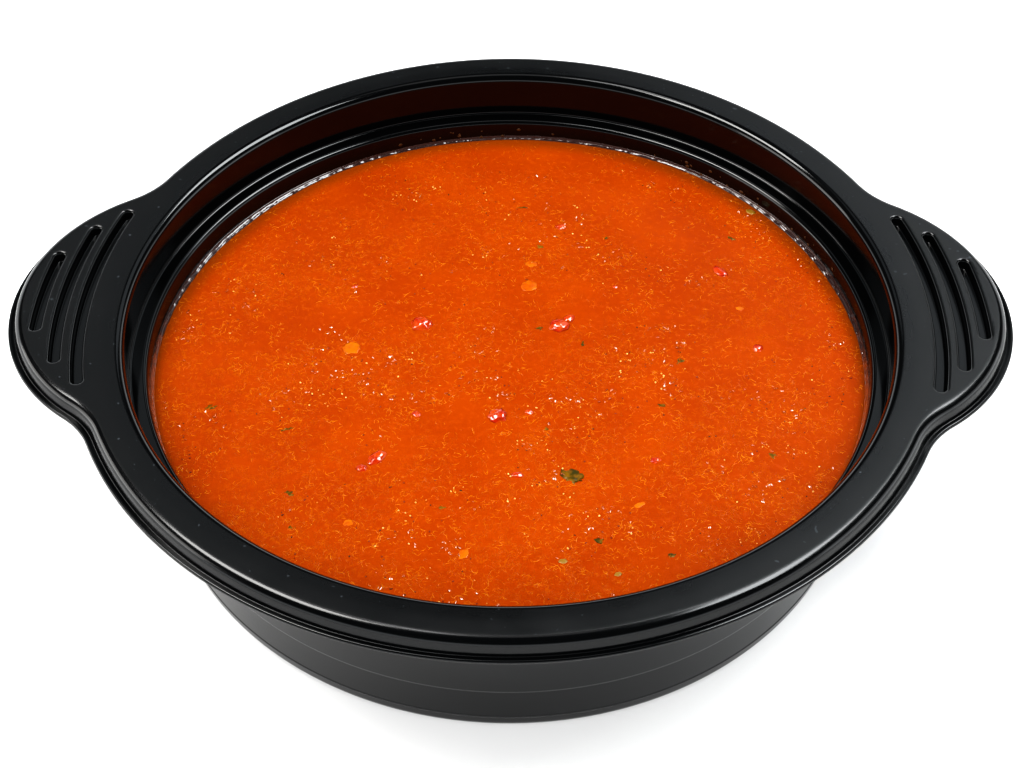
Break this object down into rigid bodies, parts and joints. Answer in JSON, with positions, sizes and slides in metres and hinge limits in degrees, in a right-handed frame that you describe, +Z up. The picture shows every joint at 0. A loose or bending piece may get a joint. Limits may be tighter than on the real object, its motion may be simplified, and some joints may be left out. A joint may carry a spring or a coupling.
{
  "type": "bowl of tomato soup",
  "caption": "Tomato soup in a round black plastic takeaway bowl with a grooved ear on each side.",
  "frame": {"origin": "middle of the foot, on the surface that the bowl stands on", "axes": "+Z up, X through both ears, Y across the bowl between them"},
  "size_m": [0.2136, 0.1844, 0.046],
  "materials": {
    "bowl": "glossy black moulded polypropylene, satin on the flange",
    "soup": "thick blended tomato soup, wet and finely pulpy"
  },
  "bodies": {
    "root": {"bowl": "bowl", "soup": "soup"}
  },
  "joints": []
}
